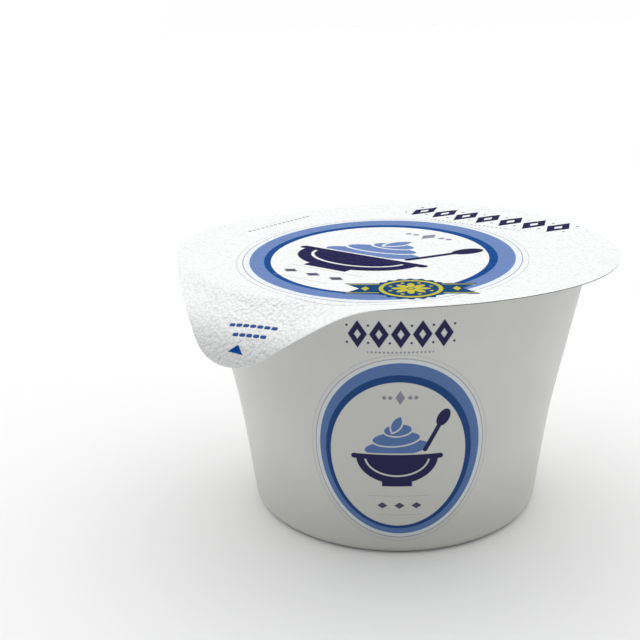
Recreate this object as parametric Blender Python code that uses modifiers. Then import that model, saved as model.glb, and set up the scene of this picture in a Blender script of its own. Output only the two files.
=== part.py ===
"""A sealed yogurt pot: a tapered plastic cup with a flange, and a peel-off lid sealed over it.

The cup is closed and full, so it is one solid of revolution. The lid is a thin disc whose outline
runs out into one rounded corner, the peel tab, which is bent down over the edge of the flange.
Metres, +Z up. The origin is the centre of the base, and the front of the pot faces -Y.
"""

from math import atan, atan2, copysign, cos, exp, log, pi, radians, sin, sqrt

import bpy

# Round pieces
SEGMENTS = 120                    # faces around the pot
MERGE_DISTANCE = 0.00001          # joins the turned profile's points on the axis and at the seam
SHARP_ANGLE = radians(40)         # edges turned more than this are shaded sharp
SMALLEST_TURN = 1e-6              # a stretch that turns less than this counts as straight
GAP = 0.0003                      # between the lid and the flange

# Cup wall: a slow taper above the base that turns into a faster one up to the flange
POT_HEIGHT = 0.0575               # base to the lid's upper face
WALL_FOOT_RADIUS = 0.0322         # where the wall's line would meet the base
LOWER_TAPER = 0.116               # growth of the radius for each unit of height
UPPER_TAPER = 0.199
TAPER_CHANGE_HEIGHT = 0.0227      # where one taper turns into the other
TAPER_CHANGE_LENGTH = 0.003       # how softly it turns
WALL_STEPS = 11                   # rings of faces between the base corner and the flange

# Base
BASE_CORNER_RADIUS = 0.0024
BASE_CORNER_STEPS = 4
FOOT_INNER_RADIUS = 0.0255        # inner edge of the ring that the pot stands on
CENTRE_PAD_RADIUS = 0.009         # flat pad in the middle, level with the foot ring
RECESS_DEPTH = 0.0008             # groove between the foot ring and the pad
RECESS_SLOPE = 0.0008             # width of the groove's sloping sides

# Flange that carries the lid
FLANGE_RADIUS = 0.0442
FLANGE_THICKNESS = 0.0007
FLANGE_EDGE_STEPS = 4
FLANGE_ROOT_RADIUS = 0.0008       # fillet between the flange and the wall
FLANGE_ROOT_STEPS = 3

# Lid outline: a disc with one corner, whose sides are tangents of the disc
LID_THICKNESS = 0.0003
LID_RADIUS = 0.0476
TAB_AZIMUTH = radians(-125.5)     # direction of the corner, counted from +X
TAB_SPREAD = radians(42.8)        # from the corner's direction to where its sides leave the disc
TAB_TIP_RADIUS = 0.0149           # rounding of the corner

# Slope of the lid's free edge, which bends over the flange
BEND_START_RADIUS = 0.0434        # the sheet is flat inside this radius
BEND_RADIUS = 0.003
DROOP_ANGLE = radians(51)         # of the tab below level, where the bend ends
TAB_CURL = radians(1030)          # further slope for each metre from there to the tip
DROOP_AZIMUTH = radians(-139.6)   # middle of the stretch that droops
DROOP_HALF_WIDTH = radians(36.6)
DROOP_SQUARENESS = 6.2            # how abruptly the drooping stretch ends
EDGE_WAVES = (                    # waves round the rest of the free edge: count, angle, phase
    (1, radians(2.7), radians(-62)),
    (2, radians(2.4), radians(-55)),
    (3, radians(5.6), 0.0),
)
INNER_RINGS = (0.022, 0.0385, BEND_START_RADIUS)
BEND_STEPS = 4
FREE_STEPS = 4

# Finishes
CUP_COLOUR = (0.70, 0.70, 0.69)
CUP_ROUGHNESS = 0.42
LID_COLOUR = (0.92, 0.92, 0.92)
LID_ROUGHNESS = 0.35

FLANGE_TOP = POT_HEIGHT - LID_THICKNESS - GAP


def wall_radius(height):
    """Outer radius of the cup's wall at a height above the base."""
    def ramp(offset):
        return TAPER_CHANGE_LENGTH * log(1 + exp(offset / TAPER_CHANGE_LENGTH))
    above_change = ramp(height - TAPER_CHANGE_HEIGHT) - ramp(-TAPER_CHANGE_HEIGHT)
    return WALL_FOOT_RADIUS + LOWER_TAPER * height + (UPPER_TAPER - LOWER_TAPER) * above_change


def arc(centre, radius, start, end, steps):
    """Points (radius, height) of an arc in the profile's plane, both ends included."""
    angles = (start + (end - start) * i / steps for i in range(steps + 1))
    return [(centre[0] + radius * cos(a), centre[1] + radius * sin(a)) for a in angles]


def flange_profile():
    """Top face, rounded edge, underside and root fillet of the flange."""
    edge = FLANGE_THICKNESS / 2
    edge_centre = (FLANGE_RADIUS - edge, FLANGE_TOP - edge)
    root_height = FLANGE_TOP - FLANGE_THICKNESS - FLANGE_ROOT_RADIUS
    root_offset = FLANGE_ROOT_RADIUS * sqrt(1 + UPPER_TAPER ** 2)
    root_centre = (wall_radius(root_height) + root_offset, root_height)
    root = arc(root_centre, FLANGE_ROOT_RADIUS, pi / 2, pi - atan(UPPER_TAPER), FLANGE_ROOT_STEPS)
    return [(0.0, FLANGE_TOP)] + arc(edge_centre, edge, pi / 2, -pi / 2, FLANGE_EDGE_STEPS) + root


def base_profile():
    """Rounded corner, foot ring, shallow groove and centre pad of the underside."""
    corner_offset = BASE_CORNER_RADIUS * (sqrt(1 + LOWER_TAPER ** 2) - LOWER_TAPER)
    corner_centre = (WALL_FOOT_RADIUS - corner_offset, BASE_CORNER_RADIUS)
    corner = arc(corner_centre, BASE_CORNER_RADIUS, -atan(LOWER_TAPER), -pi / 2, BASE_CORNER_STEPS)
    return corner + [
        (FOOT_INNER_RADIUS, 0.0),
        (FOOT_INNER_RADIUS - RECESS_SLOPE, RECESS_DEPTH),
        (CENTRE_PAD_RADIUS + RECESS_SLOPE, RECESS_DEPTH),
        (CENTRE_PAD_RADIUS, 0.0),
        (0.0, 0.0),
    ]


def cup_profile():
    """Half outline of the cup, from the axis at the top, down the wall, to the axis at the base."""
    flange = flange_profile()
    base = base_profile()
    top, bottom = flange[-1][1], base[0][1]
    heights = [top + (bottom - top) * i / WALL_STEPS for i in range(1, WALL_STEPS)]
    return flange + [(wall_radius(height), height) for height in heights] + base


def lid_edge_radius(azimuth):
    """Distance from the axis to the flat lid's edge, along an azimuth."""
    turn = abs((azimuth - TAB_AZIMUTH + pi) % (2 * pi) - pi)
    if turn >= TAB_SPREAD:
        return LID_RADIUS
    tip_centre = (LID_RADIUS - TAB_TIP_RADIUS) / cos(TAB_SPREAD)
    tip_end = atan2(TAB_TIP_RADIUS * sin(TAB_SPREAD), tip_centre + TAB_TIP_RADIUS * cos(TAB_SPREAD))
    if turn >= tip_end:
        return LID_RADIUS / cos(TAB_SPREAD - turn)
    return tip_centre * cos(turn) + sqrt(TAB_TIP_RADIUS ** 2 - (tip_centre * sin(turn)) ** 2)


def drooping(azimuth):
    """Share of the tab's droop that the lid's free edge has at an azimuth, from 0 to 1."""
    turn = abs((azimuth - DROOP_AZIMUTH + pi) % (2 * pi) - pi)
    return exp(-(turn / DROOP_HALF_WIDTH) ** DROOP_SQUARENESS)


def stretch(start_angle, end_angle, length):
    """How far out and how far down a length of sheet reaches as its slope turns evenly."""
    turn = end_angle - start_angle
    if abs(turn) < SMALLEST_TURN:
        return length * cos(start_angle), length * sin(start_angle)
    out = length * (sin(end_angle) - sin(start_angle)) / turn
    return out, length * (cos(start_angle) - cos(end_angle)) / turn


def bent_over(reach, azimuth):
    """How far out and how far down the sheet ends up, a reach beyond the start of the bend."""
    droop = drooping(azimuth)
    waves = sum(angle * cos(count * azimuth - phase) for count, angle, phase in EDGE_WAVES)
    slope = DROOP_ANGLE * droop + waves * (1 - droop)
    bend_length = min(reach, BEND_RADIUS * abs(slope))
    bend_end = copysign(bend_length / BEND_RADIUS, slope)
    bend_out, bend_down = stretch(0.0, bend_end, bend_length)
    free_length = reach - bend_length
    free_end = bend_end + TAB_CURL * droop * free_length
    free_out, free_down = stretch(bend_end, free_end, free_length)
    return bend_out + free_out, bend_down + free_down


def lid_ring_radii(azimuth):
    """Radii of the flat lid's rings along an azimuth: the disc, the bend and the free edge."""
    bend_length = BEND_RADIUS * DROOP_ANGLE
    bend = [BEND_START_RADIUS + bend_length * i / BEND_STEPS for i in range(1, BEND_STEPS + 1)]
    free_length = lid_edge_radius(azimuth) - bend[-1]
    free = [bend[-1] + free_length * i / FREE_STEPS for i in range(1, FREE_STEPS + 1)]
    return list(INNER_RINGS) + bend + free


def turned(name, profile, collection):
    """An object whose mesh is a profile of (radius, height) points, turned about Z."""
    line = bpy.data.meshes.new(name)
    edges = [(i, i + 1) for i in range(len(profile) - 1)]
    line.from_pydata([(radius, 0.0, height) for radius, height in profile], edges, [])
    piece = bpy.data.objects.new(name, line)
    collection.objects.link(piece)
    screw = piece.modifiers.new("Turn", "SCREW")
    screw.steps = screw.render_steps = SEGMENTS
    screw.use_merge_vertices = True
    screw.merge_threshold = MERGE_DISTANCE
    evaluated = piece.evaluated_get(bpy.context.evaluated_depsgraph_get())
    piece.data = bpy.data.meshes.new_from_object(evaluated)
    piece.modifiers.clear()
    return piece


def finished(piece, material_name, colour, roughness):
    """Shades a piece smooth between its sharp edges and gives it a plain material."""
    piece.data.shade_smooth()
    piece.data.set_sharp_from_angle(angle=SHARP_ANGLE)
    material = bpy.data.materials.new(material_name)
    material.use_nodes = True
    shader = material.node_tree.nodes["Principled BSDF"]
    shader.inputs["Base Color"].default_value = (*colour, 1.0)
    shader.inputs["Roughness"].default_value = roughness
    piece.data.materials.append(material)
    return piece


def make_cup(collection):
    cup = turned("cup", cup_profile(), collection)
    return finished(cup, "satin cup plastic", CUP_COLOUR, CUP_ROUGHNESS)


def make_lid(collection):
    """Turns a flat disc with one ring a unit, then lays its rings along the outline and the bend."""
    ring_count = len(lid_ring_radii(0.0))
    lid = turned("lid", [(float(ring), 0.0) for ring in range(ring_count + 1)], collection)
    for vertex in lid.data.vertices:
        ring = round(vertex.co.xy.length)
        azimuth = atan2(vertex.co.y, vertex.co.x)
        flat_radius = lid_ring_radii(azimuth)[ring - 1] if ring else 0.0
        out, down = bent_over(max(flat_radius - BEND_START_RADIUS, 0.0), azimuth)
        radius = min(flat_radius, BEND_START_RADIUS) + out
        vertex.co = (radius * cos(azimuth), radius * sin(azimuth), POT_HEIGHT - down)
    sheet = lid.modifiers.new("Sheet", "SOLIDIFY")
    sheet.thickness = LID_THICKNESS
    sheet.offset = -1.0
    sheet.use_even_offset = True
    return finished(lid, "printed lid foil", LID_COLOUR, LID_ROUGHNESS)


def main():
    for leftover in list(bpy.data.objects):
        bpy.data.objects.remove(leftover)
    pot = bpy.data.collections.new("yogurt_pot")
    bpy.context.scene.collection.children.link(pot)
    make_cup(pot)
    make_lid(pot)


main()
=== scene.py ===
"""Looks of a sealed yogurt pot: a thermoformed cup with a printed medallion, under a printed peel-off lid.

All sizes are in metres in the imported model's frame: the foot rests on z = 0, the print faces -Y,
and the peel tab droops towards -X and -Y. Sizes of the print are in millimetres.
"""
from math import atan2, copysign, cos, exp, hypot, log, pi, radians, sin, sqrt

import bmesh
import bpy
from mathutils import Matrix, Vector


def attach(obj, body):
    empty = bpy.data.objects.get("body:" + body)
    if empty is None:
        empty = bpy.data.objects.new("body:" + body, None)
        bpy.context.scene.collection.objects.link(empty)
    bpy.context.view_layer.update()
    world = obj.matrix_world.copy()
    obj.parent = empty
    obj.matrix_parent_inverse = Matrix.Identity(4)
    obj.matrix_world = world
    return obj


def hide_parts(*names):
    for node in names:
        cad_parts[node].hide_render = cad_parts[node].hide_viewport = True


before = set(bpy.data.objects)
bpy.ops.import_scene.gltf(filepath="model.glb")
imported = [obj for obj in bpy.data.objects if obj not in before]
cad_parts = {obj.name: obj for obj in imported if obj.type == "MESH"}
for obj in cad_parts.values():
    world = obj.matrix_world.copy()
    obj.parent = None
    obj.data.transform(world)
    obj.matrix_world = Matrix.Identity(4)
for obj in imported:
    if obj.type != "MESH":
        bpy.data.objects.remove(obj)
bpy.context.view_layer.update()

MM_PER_METRE = 1000.0
SMALLEST_TURN = 1e-6
MERGE_DISTANCE = 0.000005
SHARP_EDGE = radians(40)

# The cup, turned from one outline
CUP_SEGMENTS = 288
PATH_RADIUS = 0.010
WALL_FOOT_RADIUS = 0.0322
LOWER_TAPER = 0.116
UPPER_TAPER = 0.199
TAPER_CHANGE_HEIGHT = 0.0227
TAPER_CHANGE_LENGTH = 0.003
WALL_RINGS = 56
BASE_CORNER_RADIUS = 0.0024
FOOT_INNER_RADIUS = 0.0255
FOOT_EDGE_RADIUS = 0.0004
FOOT_EDGE_STEPS = 4
CENTRE_PAD_RADIUS = 0.009
RECESS_DEPTH = 0.0008
GATE_MARK_RADIUS = 0.0022
GATE_MARK_DEPTH = 0.00025
FLANGE_RADIUS = 0.0442
FLANGE_TOP = 0.05726
FLANGE_THICKNESS = 0.0008
FLANGE_ROOT_RADIUS = 0.0008
STACKING_STEP_HEIGHT = 0.0528
STACKING_STEP_DEPTH = 0.00018
STACKING_STEP_SOFTNESS = 0.0002
MOUTH_RADIUS = 0.0412
MOUTH_DEPTH = 0.0012
MOUTH_SLOPE = 0.0015
FLANGE_EDGE_FLAT = 0.0005
ARC_STEPS = 8

# The lid: a disc with a drawn-out corner for the tab, flat over the flange and bent outside it. The
# curls are turns for each metre of sheet, and each wave of the edge has a count, a slope and a phase
LID_SEGMENTS = 384
LID_FACE_HEIGHT = 0.0575
LID_SHEET_THICKNESS = 0.00018
LID_RADIUS = 0.04758
TAB_AZIMUTH = radians(-123.2)
TAB_SPREAD = radians(42.7)
TAB_TIP_RADIUS = 0.01346
BEND_START_RADIUS = 0.0434
BEND_RADIUS = 0.003
DROOP_ANGLE = radians(44.7)
TAB_CURL = radians(-1000)
TIP_CURL_START = 0.008
TIP_CURL = radians(4600)
DROOP_AZIMUTH = radians(-139.8)
DROOP_HALF_WIDTH = radians(37.4)
DROOP_SQUARENESS = 7.4
EDGE_WAVES = (
    (1, radians(2.4), radians(-58.6)),
    (2, radians(2.6), radians(-50.4)),
    (3, radians(5.4), radians(-3.6)))
LID_INNER_RINGS = 26
LID_INNER_SPREAD = 0.8
LID_FREE_RINGS = 30
LID_FREE_SPREAD = 1.3
LID_SAG = 0.00022
LID_SAG_RADIUS = 0.040
SEAL_STEP_RADIUS = 0.0413
SEAL_STEP = 0.00005
SEAL_STEP_SOFTNESS = 0.00006
SEAL_STEP_RINGS = (-0.0003, -0.00012, 0.0, 0.00012, 0.0003)
SEAL_STEP_ROOM = 0.0004
PLAN_WIDTH = 0.13

# The camera, fitted to the outline of the pot in the photograph
CAMERA_PLACE = (0.0008065, -0.200, 0.1037349)
CAMERA_YAW = -0.0862
CAMERA_PITCH = 0.3065
CAMERA_ROLL = -0.0275
CAMERA_LENS = 52.393
CAMERA_SENSOR = 36.0

# Inks, as linear colours
PERIWINKLE = (0.141, 0.228, 0.475)
PERIWINKLE_ON_PLASTIC = (0.084, 0.162, 0.365)
DEEP_BLUE = (0.003, 0.062, 0.265)
DEEP_BLUE_ON_PLASTIC = (0.002, 0.044, 0.180)
NAVY = (0.011, 0.009, 0.066)
CLEAR_FIELD = (0.515, 0.520, 0.480)
PALE_BLUE = (0.60, 0.74, 0.84)
RULE_GREY = (0.36, 0.34, 0.30)
DOT_GREY = (0.20, 0.19, 0.26)
SEAL_BLUE = (0.004, 0.056, 0.165)
SEAL_YELLOW = (0.52, 0.475, 0.024)
CUP_WHITE = (0.636, 0.640, 0.626)
# The cup's darker colour serves both its random mottle and a painted shade towards the foot
CUP_MOTTLE_AND_PAINTED_SHADE = (0.532, 0.531, 0.500)
LID_WHITE = (0.865, 0.872, 0.875)
# The lid's darker colour is painted shade, in the pebbles' hollows and towards the tab's tip
LID_PAINTED_SHADE = (0.605, 0.610, 0.610)
FOIL_GREY = (0.78, 0.785, 0.79)
FOIL_SHADE = (0.70, 0.705, 0.71)
# The cut edge's greys are partly the bare metal and partly a painted shadow line under the lid's edge
CUT_EDGE_GREY_AND_PAINTED_SHADOW = (0.30, 0.30, 0.295)
CUT_EDGE_DARKER_GREY_AND_PAINTED_SHADOW = (0.22, 0.22, 0.22)
INK_EDGE = 0.07
HALO_EDGE = 0.12

# The print on the cup, in millimetres from its middle, round the wall and up it
CUP_PRINT_AZIMUTH = radians(2.2)
CUP_PRINT_HEIGHT = 24.8
CUP_RING = (16.1, 19.5)
CUP_CLEAR = (13.5, 16.5)
CUP_CLEAR_PLACE = (-0.3, -1.1)
CUP_FIELD = (14.0, 17.0)
CUP_FIELD_STRENGTH = 0.5
CUP_HALO = 0.40
CUP_EMBLEM_PLACE = (-0.5, 0.1)
CUP_EMBLEM_SCALE = 1.06
CUP_FOOTER_PLACE = (0.0, -12.8)
CUP_HEADER_PLACE = (0.0, 12.0)
CUP_FRIEZE_PLACE = (0.0, 25.4)

# The print on the lid, in millimetres on its flat blank. The ring, the badge and the blank share one
# pair of axes, and all the rest is turned with the lid's emblem
LID_OVAL_PLACE = (-2.3, -8.1)
LID_OVAL_TURN = radians(-2)
LID_RING = (27.64, 34.69)
LID_CLEAR = (22.6, 28.7)
LID_CLEAR_PLACE = (-0.4, -1.6)
LID_RING_SCALE = 1.50
LID_HALO = 0.35
BADGE_PLACE = (3.4, -35.4)
BADGE_RADIUS = 7.2
LID_PRINT_TURN = radians(-35.5)
LID_EMBLEM_PLACE = (0.3, -8.9)
LID_EMBLEM_SCALE = 1.93
LID_FOOTER_PLACE = (1.8, -29.2)
LID_FOOTER_SCALE = 1.7
LID_HEADER_PLACE = (1.6, 11.6)
LID_HEADER_SCALE = 1.8
LID_FRIEZE_PLACE = (3.0, 35.6)
SMALL_PRINT_PLACE = (-36.5, 3.2)
ARROW_PLACE = (3.8, -57.0)
ARROW_TURN = radians(3)
DASHES_PLACE = (5.3, -52.2)
DASHES_TURN = radians(10)
DASH_PITCH = 1.60

# Surfaces. A pair for shade or roughness is its middle value and its swing, a pair for a fade is where
# it starts and ends in millimetres, and depths are in metres
CUP_MOTTLE = (0.12, 0.45)
CUP_ROUGHNESS = (0.42, 0.10)
CUP_SPECULAR = 0.20
ORANGE_PEEL_DEPTH = 0.00001
# Painted shade: the cup grows darker from 22 mm above the base down to the foot
PAINTED_FOOT_SHADE = (-22.0, 0.0)
# Painted shade in the hollows of the pebbled embossing: the middle and swing of its share
PEBBLE_HOLLOW_PAINTED_SHADE = (0.06, 0.56)
LID_ROUGHNESS = (0.42, 0.12)
LID_SPECULAR = 0.004
PEBBLE_DEPTH = 0.00027
# Painted shade: the lid grows darker towards the tab's tip, over this span of distance from the blank's
# middle
PAINTED_TAB_TIP_SHADE = (49.0, 60.5)
# Where the painted shadow line on the cut edge fades to white, on the tab
PAINTED_SHADOW_FADE_ON_TAB = (47.6, 50.0)
METAL_UNDER_WHITE = 0.57
FOIL_ROUGHNESS = (0.36, 0.14)
ROLLING_STRETCH = (12.0, 420.0, 1.0)
ROLLING_DEPTH = 0.00003
CUT_EDGE_ROUGHNESS = (0.55, 0.2)
CUT_EDGE_METAL = 0.8
UNEVEN_SHADE = (0.5, 1.5)

# The floor, and the parts of the light: how strong each is and over which part of its axis it rises
FLOOR_WHITE = (0.835, 0.835, 0.835)
FLOOR_ROUGHNESS = 0.9
FLOOR_SPECULAR = 0.1
FLOOR_RADIUS = 30.0
FLOOR_SIDES = 64
FLOOR_HEIGHT = -0.00005
TENT_BACK, TENT_BACK_RISE = 0.99, (-0.2, 0.9)
TENT_TOP, TENT_TOP_RISE = 1.20, (0.3, 1.0)
TENT_LEFT, TENT_RIGHT, TENT_SIDE_RISE = 0.86, 0.75, (0.2, 1.0)
TENT_HORIZON, TENT_HORIZON_RISE = 0.5, (-0.16, -0.02)


def wall_radius(height):
    """The cup's radius at a height: two tapers that turn softly into each other."""
    def ramp(offset):
        return TAPER_CHANGE_LENGTH * log(1 + exp(offset / TAPER_CHANGE_LENGTH))

    above_change = ramp(height - TAPER_CHANGE_HEIGHT) - ramp(-TAPER_CHANGE_HEIGHT)
    return WALL_FOOT_RADIUS + LOWER_TAPER * height + (UPPER_TAPER - LOWER_TAPER) * above_change


def arc(centre, radius, start, end, steps=ARC_STEPS):
    """Points of a rounded corner in the outline, as (radius, height)."""
    turns = [start + (end - start) * step / steps for step in range(steps + 1)]
    return [(centre[0] + radius * cos(turn), centre[1] + radius * sin(turn)) for turn in turns]


def stacking_step(height):
    """The faint ledge under the flange on which nested cups hang."""
    return STACKING_STEP_DEPTH / (1 + exp(-(height - STACKING_STEP_HEIGHT) / STACKING_STEP_SOFTNESS))


def cup_outline():
    """From the middle of the cup's top, over the flange and down the wall, to the middle of its base."""
    mouth_floor = FLANGE_TOP - MOUTH_DEPTH
    outline = [(0.0, mouth_floor), (MOUTH_RADIUS - MOUTH_SLOPE, mouth_floor), (MOUTH_RADIUS, FLANGE_TOP)]
    half = FLANGE_THICKNESS / 2
    outline += [(FLANGE_RADIUS - half - FLANGE_EDGE_FLAT, FLANGE_TOP)]
    outline += arc((FLANGE_RADIUS - half, FLANGE_TOP - half), half, pi / 2, -pi / 2)
    flange_foot = FLANGE_TOP - FLANGE_THICKNESS
    root_height = flange_foot - FLANGE_ROOT_RADIUS
    root = wall_radius(root_height) + STACKING_STEP_DEPTH + FLANGE_ROOT_RADIUS
    outline += arc((root, root_height), FLANGE_ROOT_RADIUS, pi / 2, pi)
    foot_height = BASE_CORNER_RADIUS
    for ring in range(1, WALL_RINGS + 1):
        height = root_height + (foot_height - root_height) * ring / WALL_RINGS
        outline.append((wall_radius(height) + stacking_step(height), height))
    corner = wall_radius(foot_height) - BASE_CORNER_RADIUS
    outline += arc((corner, foot_height), BASE_CORNER_RADIUS, 0.0, -pi / 2)[1:]
    edge = FOOT_EDGE_RADIUS
    outline += [(FOOT_INNER_RADIUS + 2 * edge, 0.0)]
    outline += arc((FOOT_INNER_RADIUS + edge, edge), edge, -pi / 2, -pi, FOOT_EDGE_STEPS)
    outline += [(FOOT_INNER_RADIUS - edge, RECESS_DEPTH), (CENTRE_PAD_RADIUS + 4 * edge, RECESS_DEPTH)]
    outline += [(CENTRE_PAD_RADIUS + edge, edge), (CENTRE_PAD_RADIUS, 0.0)]
    outline += [(GATE_MARK_RADIUS + edge, 0.0), (GATE_MARK_RADIUS, GATE_MARK_DEPTH)]
    return outline + [(0.0, GATE_MARK_DEPTH)]


def lid_edge_radius(azimuth):
    """How far the flat blank of the lid reaches: a disc with a rounded corner drawn out for the tab."""
    turn = abs((azimuth - TAB_AZIMUTH + pi) % (2 * pi) - pi)
    if turn >= TAB_SPREAD:
        return LID_RADIUS
    tip_centre = (LID_RADIUS - TAB_TIP_RADIUS) / cos(TAB_SPREAD)
    tip_end = atan2(TAB_TIP_RADIUS * sin(TAB_SPREAD), tip_centre + TAB_TIP_RADIUS * cos(TAB_SPREAD))
    if turn >= tip_end:
        return LID_RADIUS / cos(TAB_SPREAD - turn)
    return tip_centre * cos(turn) + sqrt(TAB_TIP_RADIUS ** 2 - (tip_centre * sin(turn)) ** 2)


def drooping(azimuth):
    """1 where the tab hangs, 0 where the edge stays nearly level."""
    turn = abs((azimuth - DROOP_AZIMUTH + pi) % (2 * pi) - pi)
    return exp(-(turn / DROOP_HALF_WIDTH) ** DROOP_SQUARENESS)


def stretch(start_angle, end_angle, length):
    """How far out and down a stretch of sheet goes while its slope turns evenly."""
    turn = end_angle - start_angle
    if abs(turn) < SMALLEST_TURN:
        return length * cos(start_angle), length * sin(start_angle)
    radius = length / turn
    return radius * (sin(end_angle) - sin(start_angle)), radius * (cos(start_angle) - cos(end_angle))


def bent_over(reach, azimuth):
    """How far out and down the sheet goes, a given length past the start of the bend."""
    droop = drooping(azimuth)
    waves = sum(angle * cos(count * azimuth - phase) for count, angle, phase in EDGE_WAVES)
    slope = DROOP_ANGLE * droop + waves * (1 - droop)
    bend_length = min(reach, BEND_RADIUS * abs(slope))
    bend_end = copysign(bend_length / BEND_RADIUS, slope)
    bend_out, bend_down = stretch(0.0, bend_end, bend_length)
    free_length = max(min(reach, TIP_CURL_START) - bend_length, 0.0)
    free_end = bend_end + TAB_CURL * droop * free_length
    free_out, free_down = stretch(bend_end, free_end, free_length)
    tip_length = max(reach - TIP_CURL_START, 0.0)
    tip_end = free_end + (TAB_CURL + TIP_CURL) * droop * tip_length
    tip_out, tip_down = stretch(free_end, tip_end, tip_length)
    return bend_out + free_out + tip_out, bend_down + free_down + tip_down


def lid_lift(radius):
    """The flat part's small departures from its plane: a slack middle and the pressed ring of the seal."""
    slack = LID_SAG * max(0.0, 1 - (radius / LID_SAG_RADIUS) ** 2) ** 2
    sealed = SEAL_STEP / (1 + exp(-(radius - SEAL_STEP_RADIUS) / SEAL_STEP_SOFTNESS))
    return -slack - sealed


# Nodes

def link(tree, source, target):
    tree.links.new(source, target)


def node_of(tree, kind, inputs=(), **settings):
    """A new node with its settings, and its unlinked inputs' values as (name or place, value) pairs."""
    node = tree.nodes.new(kind)
    for name, value in settings.items():
        setattr(node, name, value)
    for place, value in inputs:
        node.inputs[place].default_value = value
    return node


# Shapes

def turning_tree(material):
    """Turns an outline round the Z axis: its X is the distance from the axis less the path's radius."""
    tree = bpy.data.node_groups.new("turned_form", "GeometryNodeTree")
    face = tree.interface
    face.new_socket("Geometry", in_out="INPUT", socket_type="NodeSocketGeometry")
    segments = face.new_socket("Segments", in_out="INPUT", socket_type="NodeSocketInt")
    radius = face.new_socket("Path radius", in_out="INPUT", socket_type="NodeSocketFloat")
    face.new_socket("Geometry", in_out="OUTPUT", socket_type="NodeSocketGeometry")
    given, result = tree.nodes.new("NodeGroupInput"), tree.nodes.new("NodeGroupOutput")
    path = node_of(tree, "GeometryNodeCurvePrimitiveCircle")
    swept = node_of(tree, "GeometryNodeCurveToMesh")
    merged = node_of(tree, "GeometryNodeMergeByDistance", inputs=(("Distance", MERGE_DISTANCE),))
    realized = node_of(tree, "GeometryNodeRealizeInstances")
    coated = node_of(tree, "GeometryNodeSetMaterial", inputs=(("Material", material),))
    link(tree, given.outputs["Segments"], path.inputs["Resolution"])
    link(tree, given.outputs["Path radius"], path.inputs["Radius"])
    link(tree, path.outputs["Curve"], swept.inputs["Curve"])
    link(tree, given.outputs["Geometry"], swept.inputs["Profile Curve"])
    link(tree, swept.outputs["Mesh"], merged.inputs["Geometry"])
    link(tree, merged.outputs["Geometry"], realized.inputs["Geometry"])
    link(tree, realized.outputs["Geometry"], coated.inputs["Geometry"])
    link(tree, coated.outputs["Geometry"], result.inputs["Geometry"])
    return tree, segments.identifier, radius.identifier


def plain_mesh(maker, name):
    """The result of an object's modifiers as a plain mesh; the object that made it is removed."""
    made = bpy.data.meshes.new_from_object(maker.evaluated_get(bpy.context.evaluated_depsgraph_get()))
    bpy.data.objects.remove(maker)
    made.name = name
    piece = bpy.data.objects.new(name, made)
    bpy.context.scene.collection.objects.link(piece)
    return piece


def turned_cup(material):
    """The cup in one piece. The turned form hangs downwards, so its outline goes in upside down."""
    outline = cup_outline()
    curve = bpy.data.curves.new("cup_outline", "CURVE")
    curve.dimensions = "3D"
    spline = curve.splines.new("POLY")
    spline.points.add(len(outline) - 1)
    for point, (radius, height) in zip(spline.points, outline):
        point.co = (radius - PATH_RADIUS, -height, 0.0, 1.0)
    maker = bpy.data.objects.new("cup_outline", curve)
    bpy.context.scene.collection.objects.link(maker)
    tree, segments, radius = turning_tree(material)
    spin = maker.modifiers.new("turned", "NODES")
    spin.node_group = tree
    spin[segments] = CUP_SEGMENTS
    spin[radius] = PATH_RADIUS
    cup = plain_mesh(maker, "printed_cup")
    shell = bmesh.new()
    shell.from_mesh(cup.data)
    bmesh.ops.recalc_face_normals(shell, faces=shell.faces)
    shell.to_mesh(cup.data)
    shell.free()
    return cup


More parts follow.
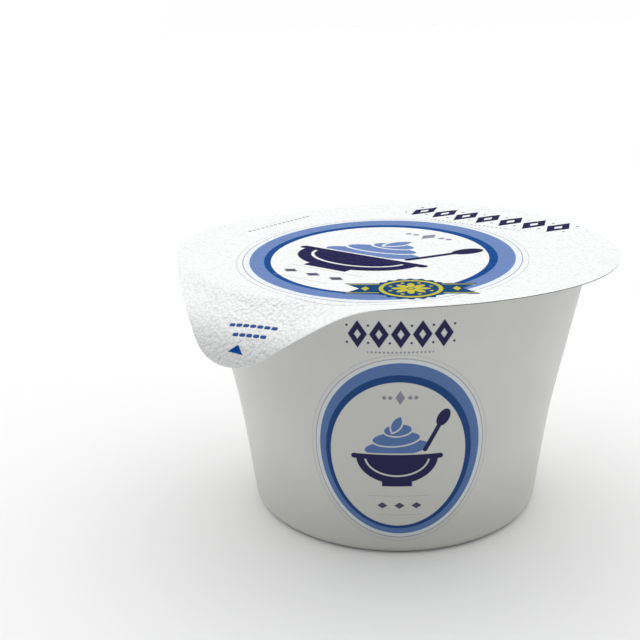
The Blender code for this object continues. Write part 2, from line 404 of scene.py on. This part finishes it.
def lid_sheet(printed, foil, cut_edge):
    """The lid as one sheet, laid out flat in its UV map and bent where it leaves the flange."""
    inner = [(ring / LID_INNER_RINGS) ** LID_INNER_SPREAD for ring in range(1, LID_INNER_RINGS + 1)]
    free = [(ring / LID_FREE_RINGS) ** LID_FREE_SPREAD for ring in range(1, LID_FREE_RINGS + 1)]
    flat_radii = [share * BEND_START_RADIUS for share in inner]
    flat_radii = [radius for radius in flat_radii if abs(radius - SEAL_STEP_RADIUS) > SEAL_STEP_ROOM]
    flat_radii = sorted(flat_radii + [SEAL_STEP_RADIUS + offset for offset in SEAL_STEP_RINGS])
    places, plans, faces = [(0.0, 0.0, LID_FACE_HEIGHT + lid_lift(0.0))], [(0.0, 0.0)], []
    for segment in range(LID_SEGMENTS):
        azimuth = 2 * pi * segment / LID_SEGMENTS
        reach = lid_edge_radius(azimuth) - BEND_START_RADIUS
        for flat in flat_radii + [BEND_START_RADIUS + reach * share for share in free]:
            out, down = bent_over(max(flat - BEND_START_RADIUS, 0.0), azimuth)
            radius = min(flat, BEND_START_RADIUS) + out
            height = LID_FACE_HEIGHT - down + lid_lift(flat)
            places.append((radius * cos(azimuth), radius * sin(azimuth), height))
            plans.append((flat * cos(azimuth), flat * sin(azimuth)))
    count = len(flat_radii) + LID_FREE_RINGS
    for segment in range(LID_SEGMENTS):
        here, there = 1 + segment * count, 1 + (segment + 1) % LID_SEGMENTS * count
        faces.append((0, here, there))
        for ring in range(count - 1):
            faces.append((here + ring, here + ring + 1, there + ring + 1, there + ring))
    sheet = bpy.data.meshes.new("lid_sheet")
    sheet.from_pydata(places, [], faces)
    flat_map = sheet.uv_layers.new(name="flat_blank")
    for loop in sheet.loops:
        x, y = plans[loop.vertex_index]
        flat_map.data[loop.index].uv = (0.5 + x / PLAN_WIDTH, 0.5 + y / PLAN_WIDTH)
    for material in (printed, foil, cut_edge):
        sheet.materials.append(material)
    maker = bpy.data.objects.new("lid_sheet", sheet)
    bpy.context.scene.collection.objects.link(maker)
    wall = maker.modifiers.new("thickness", "SOLIDIFY")
    wall.thickness = LID_SHEET_THICKNESS
    wall.offset = -1.0
    wall.use_even_offset = True
    wall.material_offset = 1
    wall.material_offset_rim = 2
    return plain_mesh(maker, "printed_lid")


# Print: numbers that the surface is measured by, and the fields of ink worked out from them. The bare
# numbers in a drawing are its own millimetres, from its own middle

class Measure:
    """A number read from the surface. Arithmetic on it adds Math nodes to its material."""

    def __init__(self, tree, socket):
        self.tree, self.socket = tree, socket

    def worked(self, operation, *others, first=None, clamp=False):
        node = node_of(self.tree, "ShaderNodeMath", operation=operation, use_clamp=clamp)
        for place, value in enumerate((self if first is None else first, *others)):
            if isinstance(value, Measure):
                link(self.tree, value.socket, node.inputs[place])
            else:
                node.inputs[place].default_value = value
        return Measure(self.tree, node.outputs[0])

    def __add__(self, other):
        return self.worked("ADD", other)

    def __sub__(self, other):
        return self.worked("SUBTRACT", other)

    def __mul__(self, other):
        return self.worked("MULTIPLY", other)

    def __truediv__(self, other):
        return self.worked("DIVIDE", other)

    def __rsub__(self, other):
        return self.worked("SUBTRACT", self, first=other)

    def __abs__(self):
        return self.worked("ABSOLUTE")

    def squared(self):
        return self.worked("MULTIPLY", self)

    def root(self):
        return self.worked("SQRT")

    def cosine(self):
        return self.worked("COSINE")

    def sine(self):
        return self.worked("SINE")

    def least(self, other):
        return self.worked("MINIMUM", other)

    def most(self, other):
        return self.worked("MAXIMUM", other)

    def wrapped(self, period):
        """The offset from the nearest whole multiple of a period."""
        return self.worked("WRAP", period / 2, -period / 2)


def distance(x, y):
    return (x.squared() + y.squared()).root()


def placed(x, y, place, scale=1.0):
    """The same place, measured from a drawing's middle and in the drawing's own size."""
    return (x - place[0]) / scale, (y - place[1]) / scale


def turned(x, y, angle):
    """The same place, measured along axes that are turned by an angle."""
    return x * cos(angle) + y * sin(angle), y * cos(angle) - x * sin(angle)


def oval(x, y, half_width, half_height):
    """How far a place is outside an oval, less than 0 inside it."""
    reach = distance(x / half_width, y / half_height)
    slope = distance(x / half_width ** 2, y / half_height ** 2)
    return reach * (reach - 1.0) / slope.most(0.001)


def lozenge(x, y, half_width, half_height):
    slant = hypot(half_width, half_height)
    return (abs(x) * half_height + abs(y) * half_width - half_width * half_height) / slant


def bar(x, y, half_width, half_height):
    return (abs(x) - half_width).most(abs(y) - half_height)


def rounded_stroke(x, y, half_length, radius):
    return distance((abs(x) - half_length).most(0.0), y) - radius


def inked(outside, edge=INK_EDGE):
    """1 inside a shape and 0 outside it, with an edge as soft as a screen print's."""
    return (0.5 - outside / (2 * edge)).worked("ADD", 0.0, clamp=True)


def band(outside, middle, half_width):
    """A ring at a distance outside a shape."""
    return abs(outside - middle) - half_width


def medallion(x, y, outer, clear, clear_place, scale, band_ink, ring_ink, halo):
    """A plain ring of two blues round a clear oval set low in it, with a halo and two hairlines."""
    outside = oval(x, y, *outer)
    beyond_clear = oval(*placed(x, y, clear_place), *clear)
    ring_x, ring_y = x - clear_place[0] * 0.6, y - clear_place[1] * 0.6
    inner_ring = oval(ring_x, ring_y, clear[0] + 1.1 * scale, clear[1] + 1.1 * scale)
    return [
        (PALE_BLUE, inked(band(outside, 0.33 * scale, 0.33 * scale), HALO_EDGE) * halo),
        (band_ink, inked(outside.most(0.0 - beyond_clear))),
        (ring_ink, inked(inner_ring.most(0.0 - beyond_clear))),
        (ring_ink, inked(band(outside, 0.90 * scale, 0.065 * scale)) * 0.7),
        (DOT_GREY, inked(band(outside, 1.75 * scale, 0.050 * scale)) * 0.5),
    ]


def bowl_emblem(x, y, swirl_ink):
    """A bowl with a swirl of yogurt and a spoon, about 18 mm across and 16 mm high."""
    bowl = oval(x, y + 1.6, 7.6, 5.7).most(y + 1.6)
    foot = bar(x, y + 7.35, 2.8, 0.55)
    rim = rounded_stroke(x, y + 1.5, 8.0, 0.55)
    stripe = abs(oval(x, y + 1.6, 5.9, 4.0)) - 0.17
    bowl = bowl.least(foot).most(0.0 - stripe).least(rim)
    spoon_x, spoon_y = turned(x - 6.7, y - 3.3, radians(64))
    spoon = rounded_stroke(spoon_x, spoon_y, 3.6, 0.42).least(oval(spoon_x - 3.8, spoon_y, 1.9, 1.15))
    tip_x, tip_y = turned(x + 0.15, y - 5.6, radians(-24))
    lobes = [distance(tip_x - 1.5, tip_y).most(distance(tip_x + 1.5, tip_y)) - 2.35]
    for place, size in (((0.1, 4.4), (2.5, 1.25)), ((-0.2, 2.5), (4.3, 1.5)), ((-0.1, 0.55), (5.9, 1.75))):
        lobes.append(oval(*turned(*placed(x, y, place), radians(6)), *size))
    swirl = lobes[0]
    for upper, lobe in zip(lobes, lobes[1:]):
        swirl = swirl.least(lobe.most(0.30 - upper))
    swirl = swirl.most(-0.65 - y)
    return [(swirl_ink, inked(swirl)), (NAVY, inked(bowl.least(spoon)))]


def ruled_footer(x, y, gap, half_length):
    """Two fine rules with three small lozenges between them."""
    rules = bar(x, y - gap / 2, half_length, 0.06).least(bar(x, y + gap / 2, half_length * 0.72, 0.06))
    marks = lozenge(x.wrapped(3.4), y, 1.05, 0.75).most(abs(x) - 4.6)
    return [(RULE_GREY, inked(rules) * 0.75), (NAVY, inked(marks) * 0.9)]


def dotted_header(x, y):
    """A small lozenge between two pairs of dots."""
    dots = distance(abs(abs(x) - 2.45) - 0.55, y) - 0.40
    return [(DOT_GREY, inked(dots.least(lozenge(x, y, 0.90, 1.55))) * 0.9)]


def frieze(x, y, pitch, half_count, half_width, half_height):
    """A row of lozenges with clear hearts and dots between them, over a dotted line."""
    half_length = pitch * (half_count + 0.5)
    step = x.wrapped(pitch)
    shape = lozenge(step, y, half_width, half_height)
    heart = lozenge(step, y, 0.34 * half_width, 0.34 * half_height)
    between = (x - pitch / 2).wrapped(pitch)
    dots = distance(between, abs(y) - 0.62 * half_height) - 0.13 * half_width
    row = shape.most(0.0 - heart).most(abs(x) - half_length)
    row = row.least(dots.most(abs(x) - half_length - 0.2 * half_width))
    fine = 0.42 * half_width
    line = distance(x.wrapped(fine), y + 1.30 * half_height) - 0.30 * fine
    line = line.most(abs(x) - 0.62 * half_length)
    return [(NAVY, inked(row)), (DOT_GREY, inked(line) * 0.8)]


def seal_badge(x, y, radius):
    """A round scalloped badge with a ring, dots and a flower of eight petals, over a notched ribbon."""
    ribbon = (abs(y) - 0.50 * radius).most(abs(x) - abs(y) * 0.8 - 1.32 * radius)
    edging = band(abs(y), 0.40 * radius, 0.025 * radius).most(ribbon)
    stud = lozenge(abs(x) - 1.16 * radius, y, 0.11 * radius, 0.20 * radius)
    reach, angle = distance(x, y), y.worked("ARCTAN2", x)
    edge = reach - radius * 0.94 + (angle * 20).cosine() * (-0.045 * radius)
    ring = band(reach, 0.76 * radius, 0.055 * radius)
    slot = angle.wrapped(2 * pi / 8)
    petal = oval(reach * slot.cosine() - 0.30 * radius, reach * slot.sine(), 0.20 * radius, 0.095 * radius)
    dot_slot = (angle + pi / 8).wrapped(2 * pi / 8)
    dots = distance(reach * dot_slot.cosine() - 0.56 * radius, reach * dot_slot.sine()) - 0.050 * radius
    heart = reach - 0.075 * radius
    return [
        (SEAL_BLUE, inked(ribbon)),
        (SEAL_YELLOW, inked(edging.least(stud))),
        (SEAL_BLUE, inked(edge)),
        (SEAL_YELLOW, inked(ring.least(petal).least(dots).least(heart))),
    ]


def tab_mark(x, y):
    """A small arrow head at the tip of the tab, under a row of five dashes and a row of seven."""
    side, height = turned(*placed(x, y, ARROW_PLACE), ARROW_TURN)
    arrow = (abs(side - 0.3) * 0.66 + height * 0.75 - 1.25).most(0.0 - height)
    row_x, row_y = turned(*placed(x, y, DASHES_PLACE), DASHES_TURN)
    dashes = rounded_stroke(row_x.wrapped(DASH_PITCH), abs(row_y) - 0.98, 0.34, 0.36)
    one_more = row_y.worked("GREATER_THAN", 0.0) * DASH_PITCH
    dashes = dashes.most(abs(row_x) - one_more - 2.5 * DASH_PITCH)
    return [(DEEP_BLUE, inked(arrow)), (DEEP_BLUE, inked(dashes) * 0.95)]


# Materials, with the places of sockets that share their names with others

MIX_UNDER, MIX_OVER, MIX_RESULT = 6, 7, 2
FROM_LOW, FROM_HIGH, TO_LOW, TO_HIGH = 1, 2, 3, 4


def mixed(tree, under, over, amount):
    """The socket of one colour laid over another, which is a colour or the socket of one."""
    node = node_of(tree, "ShaderNodeMix", data_type="RGBA", blend_type="MIX", clamp_factor=True)
    link(tree, amount.socket, node.inputs["Factor"])
    if isinstance(under, tuple):
        node.inputs[MIX_UNDER].default_value = (*under, 1.0)
    else:
        link(tree, under, node.inputs[MIX_UNDER])
    node.inputs[MIX_OVER].default_value = (*over, 1.0)
    return node.outputs[MIX_RESULT]


def printed_over(tree, colour, inks):
    """The socket of a colour with fields of ink laid over it in turn."""
    for ink, field in inks:
        colour = mixed(tree, colour, ink, field)
    return colour


def new_material(name):
    material = bpy.data.materials.new(name)
    material.use_nodes = True
    tree = material.node_tree
    shader = next(node for node in tree.nodes if node.type == "BSDF_PRINCIPLED")
    return material, tree, shader


def rising(value, low, high):
    """0 below one value, 1 above another, and a soft step between them."""
    ramp = node_of(value.tree, "ShaderNodeMapRange", interpolation_type="SMOOTHSTEP",
                   inputs=((FROM_LOW, low), (FROM_HIGH, high), (TO_LOW, 0.0), (TO_HIGH, 1.0)))
    link(value.tree, value.socket, ramp.inputs[0])
    return Measure(value.tree, ramp.outputs[0])


def noise_of(tree, place, scale, detail=2.0):
    node = node_of(tree, "ShaderNodeTexNoise",
                   inputs=(("Scale", scale), ("Detail", detail), ("Roughness", 0.5)))
    link(tree, place, node.inputs["Vector"])
    return Measure(tree, node.outputs["Fac"])


def varied(amount, middle, swing):
    """A measure near 0.5 turned into one near a middle value."""
    return (amount - 0.5) * swing + middle


def raised(tree, heights, depth):
    """The normal of a surface with small heights on it."""
    node = node_of(tree, "ShaderNodeBump", inputs=(("Strength", 1.0), ("Distance", depth)))
    link(tree, heights.socket, node.inputs["Height"])
    return node.outputs["Normal"]


def printed_plastic():
    """Satin white plastic, faintly mottled and orange-peeled, darkened towards the foot by painted shade,
    with the print on the front of the wall.
    """
    material, tree, shader = new_material("printed_satin_plastic")
    place = node_of(tree, "ShaderNodeTexCoord").outputs["Object"]
    parts = node_of(tree, "ShaderNodeSeparateXYZ")
    link(tree, place, parts.inputs[0])
    x, y, z = (Measure(tree, parts.outputs[axis]) for axis in "XYZ")
    azimuth = x.worked("ARCTAN2", 0.0 - y)
    along = (azimuth - CUP_PRINT_AZIMUTH) * distance(x, y) * MM_PER_METRE
    up = z * MM_PER_METRE - CUP_PRINT_HEIGHT
    field = oval(*placed(along, up, CUP_CLEAR_PLACE), *CUP_FIELD)
    inks = [(CLEAR_FIELD, inked(field) * CUP_FIELD_STRENGTH)]
    inks += medallion(along, up, CUP_RING, CUP_CLEAR, CUP_CLEAR_PLACE, 1.0,
                      PERIWINKLE_ON_PLASTIC, DEEP_BLUE_ON_PLASTIC, CUP_HALO)
    inks += bowl_emblem(*placed(along, up, CUP_EMBLEM_PLACE, CUP_EMBLEM_SCALE), PERIWINKLE_ON_PLASTIC)
    inks += ruled_footer(*placed(along, up, CUP_FOOTER_PLACE), gap=4.4, half_length=6.3)
    inks += dotted_header(*placed(along, up, CUP_HEADER_PLACE))
    inks += frieze(*placed(along, up, CUP_FRIEZE_PLACE),
                   pitch=3.95, half_count=2, half_width=1.80, half_height=2.85)
    cloud = noise_of(tree, place, scale=90.0, detail=3.0)
    # Painted shade, darker towards the foot, laid on top of the random mottle
    painted_foot_shade = rising(z * -MM_PER_METRE, *PAINTED_FOOT_SHADE)
    white = mixed(tree, CUP_WHITE, CUP_MOTTLE_AND_PAINTED_SHADE, varied(cloud, *CUP_MOTTLE) + painted_foot_shade)
    link(tree, printed_over(tree, white, inks), shader.inputs["Base Color"])
    dulled = noise_of(tree, place, scale=240.0)
    link(tree, varied(dulled, *CUP_ROUGHNESS).socket, shader.inputs["Roughness"])
    fine, broad = (noise_of(tree, place, scale=scale, detail=1.0) for scale in (700.0, 160.0))
    link(tree, raised(tree, fine + broad * 1.5, ORANGE_PEEL_DEPTH), shader.inputs["Normal"])
    shader.inputs["Specular IOR Level"].default_value = CUP_SPECULAR
    return material


def flat_blank(tree):
    """The lid's flat blank: its map's socket, and the place on it from its middle, in millimetres."""
    flat = node_of(tree, "ShaderNodeUVMap", uv_map="flat_blank").outputs["UV"]
    parts = node_of(tree, "ShaderNodeSeparateXYZ")
    link(tree, flat, parts.inputs[0])
    across, up = (Measure(tree, parts.outputs[axis]) - 0.5 for axis in "XY")
    width = PLAN_WIDTH * MM_PER_METRE
    return flat, across * width, up * width


def printed_foil_laminate():
    """White lacquered laminate with a fine pebbled embossing, printed like the cup, with painted shade in
    the pebbles' hollows and towards the tip of the tab.
    """
    material, tree, shader = new_material("printed_foil_laminate")
    flat, plan_x, plan_y = flat_blank(tree)
    across, up = turned(plan_x, plan_y, LID_PRINT_TURN)
    oval_x, oval_y = turned(*placed(plan_x, plan_y, LID_OVAL_PLACE), LID_OVAL_TURN)
    inks = medallion(oval_x, oval_y, LID_RING, LID_CLEAR, LID_CLEAR_PLACE, LID_RING_SCALE,
                     PERIWINKLE, DEEP_BLUE, LID_HALO)
    inks += bowl_emblem(*placed(across, up, LID_EMBLEM_PLACE, LID_EMBLEM_SCALE), PERIWINKLE)
    inks += ruled_footer(*placed(across, up, LID_FOOTER_PLACE, LID_FOOTER_SCALE),
                         gap=4.6, half_length=5.4)
    inks += dotted_header(*placed(across, up, LID_HEADER_PLACE, LID_HEADER_SCALE))
    inks += frieze(*placed(across, up, LID_FRIEZE_PLACE),
                   pitch=6.2, half_count=3, half_width=2.7, half_height=6.0)
    small_x, small_y = turned(*placed(across, up, SMALL_PRINT_PLACE), pi / 2)
    inks += frieze(small_x, small_y, pitch=1.5, half_count=7, half_width=0.42, half_height=0.6)[:1]
    inks += seal_badge(*placed(plan_x, plan_y, BADGE_PLACE), BADGE_RADIUS)
    inks += tab_mark(across, up)
    pebble = node_of(tree, "ShaderNodeTexVoronoi", feature="SMOOTH_F1",
                     inputs=(("Scale", 188.0), ("Smoothness", 0.35), ("Randomness", 1.0)))
    link(tree, flat, pebble.inputs["Vector"])
    speckle = noise_of(tree, flat, scale=330.0, detail=1.0)
    hollow = Measure(tree, pebble.outputs["Distance"]) + speckle * 0.5
    # Painted shade, darker towards the tab's tip
    painted_tip_shade = rising(distance(plan_x, plan_y), *PAINTED_TAB_TIP_SHADE)
    # Painted shade, darker where the embossing is low
    painted_hollow_shade = varied(hollow, *PEBBLE_HOLLOW_PAINTED_SHADE).most(0.0)
    white = mixed(tree, LID_WHITE, LID_PAINTED_SHADE, painted_hollow_shade + painted_tip_shade)
    printed = printed_over(tree, white, inks)
    link(tree, printed, shader.inputs["Base Color"])
    channels = node_of(tree, "ShaderNodeSeparateColor")
    link(tree, printed, channels.inputs["Color"])
    metal = Measure(tree, channels.outputs["Red"]) * METAL_UNDER_WHITE
    link(tree, metal.socket, shader.inputs["Metallic"])
    dulled = noise_of(tree, flat, scale=60.0)
    link(tree, varied(dulled, *LID_ROUGHNESS).socket, shader.inputs["Roughness"])
    slack = noise_of(tree, flat, scale=22.0, detail=1.0) * 2.0
    link(tree, raised(tree, slack - hollow, PEBBLE_DEPTH), shader.inputs["Normal"])
    shader.inputs["Specular IOR Level"].default_value = LID_SPECULAR
    return material


def bare_foil():
    """The lid's underside: dull rolled aluminium under a clear sealing lacquer."""
    material, tree, shader = new_material("bare_foil")
    flat = node_of(tree, "ShaderNodeUVMap", uv_map="flat_blank").outputs["UV"]
    stretched = node_of(tree, "ShaderNodeMapping", inputs=(("Scale", ROLLING_STRETCH),))
    link(tree, flat, stretched.inputs["Vector"])
    rolled = noise_of(tree, stretched.outputs["Vector"], scale=1.0)
    colour = mixed(tree, FOIL_GREY, FOIL_SHADE, varied(rolled, *UNEVEN_SHADE))
    link(tree, colour, shader.inputs["Base Color"])
    link(tree, varied(rolled, *FOIL_ROUGHNESS).socket, shader.inputs["Roughness"])
    dented = noise_of(tree, flat, scale=260.0, detail=1.0)
    link(tree, raised(tree, dented, ROLLING_DEPTH), shader.inputs["Normal"])
    shader.inputs["Metallic"].default_value = 1.0
    return material


def cut_edge_with_painted_shadow_line():
    """The punched edge of the lid, dull and uneven, in a grey that is partly the cut metal and partly a
    painted shadow line, fading to the lid's white on the tab.
    """
    material, tree, shader = new_material("cut_edge_with_painted_shadow_line")
    flat, plan_x, plan_y = flat_blank(tree)
    uneven = noise_of(tree, flat, scale=117.0)
    edge = mixed(tree, CUT_EDGE_GREY_AND_PAINTED_SHADOW, CUT_EDGE_DARKER_GREY_AND_PAINTED_SHADOW, varied(uneven, *UNEVEN_SHADE))
    # Painted shadow line along the edge, fading to the lid's white on the tab
    lacquer = rising(distance(plan_x, plan_y), *PAINTED_SHADOW_FADE_ON_TAB)
    link(tree, mixed(tree, edge, LID_WHITE, lacquer), shader.inputs["Base Color"])
    link(tree, varied(uneven, *CUT_EDGE_ROUGHNESS).socket, shader.inputs["Roughness"])
    shader.inputs["Metallic"].default_value = CUT_EDGE_METAL
    return material


# The stage

def pale_floor():
    material, tree, shader = new_material("pale_floor")
    shader.inputs["Base Color"].default_value = (*FLOOR_WHITE, 1.0)
    shader.inputs["Roughness"].default_value = FLOOR_ROUGHNESS
    shader.inputs["Specular IOR Level"].default_value = FLOOR_SPECULAR
    turns = [2 * pi * side / FLOOR_SIDES for side in range(FLOOR_SIDES)]
    rim = [(FLOOR_RADIUS * cos(turn), FLOOR_RADIUS * sin(turn), FLOOR_HEIGHT) for turn in turns]
    mesh = bpy.data.meshes.new("floor")
    mesh.from_pydata(rim, [], [tuple(range(FLOOR_SIDES))])
    mesh.materials.append(material)
    floor = bpy.data.objects.new("floor", mesh)
    bpy.context.scene.collection.objects.link(floor)
    return floor


def photographer():
    """The camera at the photograph's place, turned by yaw, pitch and roll from looking along +Y."""
    data = bpy.data.cameras.new("camera")
    data.lens, data.sensor_width, data.clip_start = CAMERA_LENS, CAMERA_SENSOR, 0.01
    camera = bpy.data.objects.new("camera", data)
    bpy.context.scene.collection.objects.link(camera)
    level = cos(CAMERA_PITCH)
    ahead = Vector((sin(CAMERA_YAW) * level, cos(CAMERA_YAW) * level, -sin(CAMERA_PITCH)))
    right = ahead.cross(Vector((0, 0, 1))).normalized()
    up = right.cross(ahead)
    sine, cosine = sin(CAMERA_ROLL), cos(CAMERA_ROLL)
    right, up = cosine * right + sine * up, cosine * up - sine * right
    turn = Matrix((right, up, -ahead)).transposed().to_4x4()
    camera.matrix_world = Matrix.Translation(CAMERA_PLACE) @ turn
    bpy.context.scene.camera = camera


def studio_light():
    """The light of a white tent: bright behind, overhead and at both sides, and open at the front."""
    world = bpy.data.worlds.new("tent")
    bpy.context.scene.world = world
    world.use_nodes = True
    tree = world.node_tree
    background = next(node for node in tree.nodes if node.type == "BACKGROUND")
    direction = node_of(tree, "ShaderNodeTexCoord").outputs["Generated"]
    parts = node_of(tree, "ShaderNodeSeparateXYZ")
    link(tree, direction, parts.inputs[0])
    x, y, z = (Measure(tree, parts.outputs[axis]) for axis in "XYZ")
    cloth = rising(y, *TENT_BACK_RISE) * TENT_BACK + rising(z, *TENT_TOP_RISE) * TENT_TOP
    cloth = cloth + rising(x * -1.0, *TENT_SIDE_RISE) * TENT_LEFT
    cloth = cloth + rising(x, *TENT_SIDE_RISE) * TENT_RIGHT
    cloth = cloth.most(rising(z * -1.0, *TENT_HORIZON_RISE) * TENT_HORIZON)
    link(tree, cloth.socket, background.inputs["Strength"])
    background.inputs["Color"].default_value = (1.0, 1.0, 1.0, 1.0)


def finished(piece, body, slot, *nodes):
    """Smooth shading up to real edges, then the piece's body, and the node that it stands for is hidden.
    The slot is not used.
    """
    piece.data.shade_smooth()
    piece.data.set_sharp_from_angle(angle=SHARP_EDGE)
    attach(piece, body)
    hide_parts(*nodes)


photographer()
studio_light()
pale_floor()
finished(turned_cup(printed_plastic()), "root", "cup", "cup")
finished(lid_sheet(printed_foil_laminate(), bare_foil(), cut_edge_with_painted_shadow_line()), "root", "lid", "lid")
bpy.context.scene.view_settings.view_transform = "Standard"
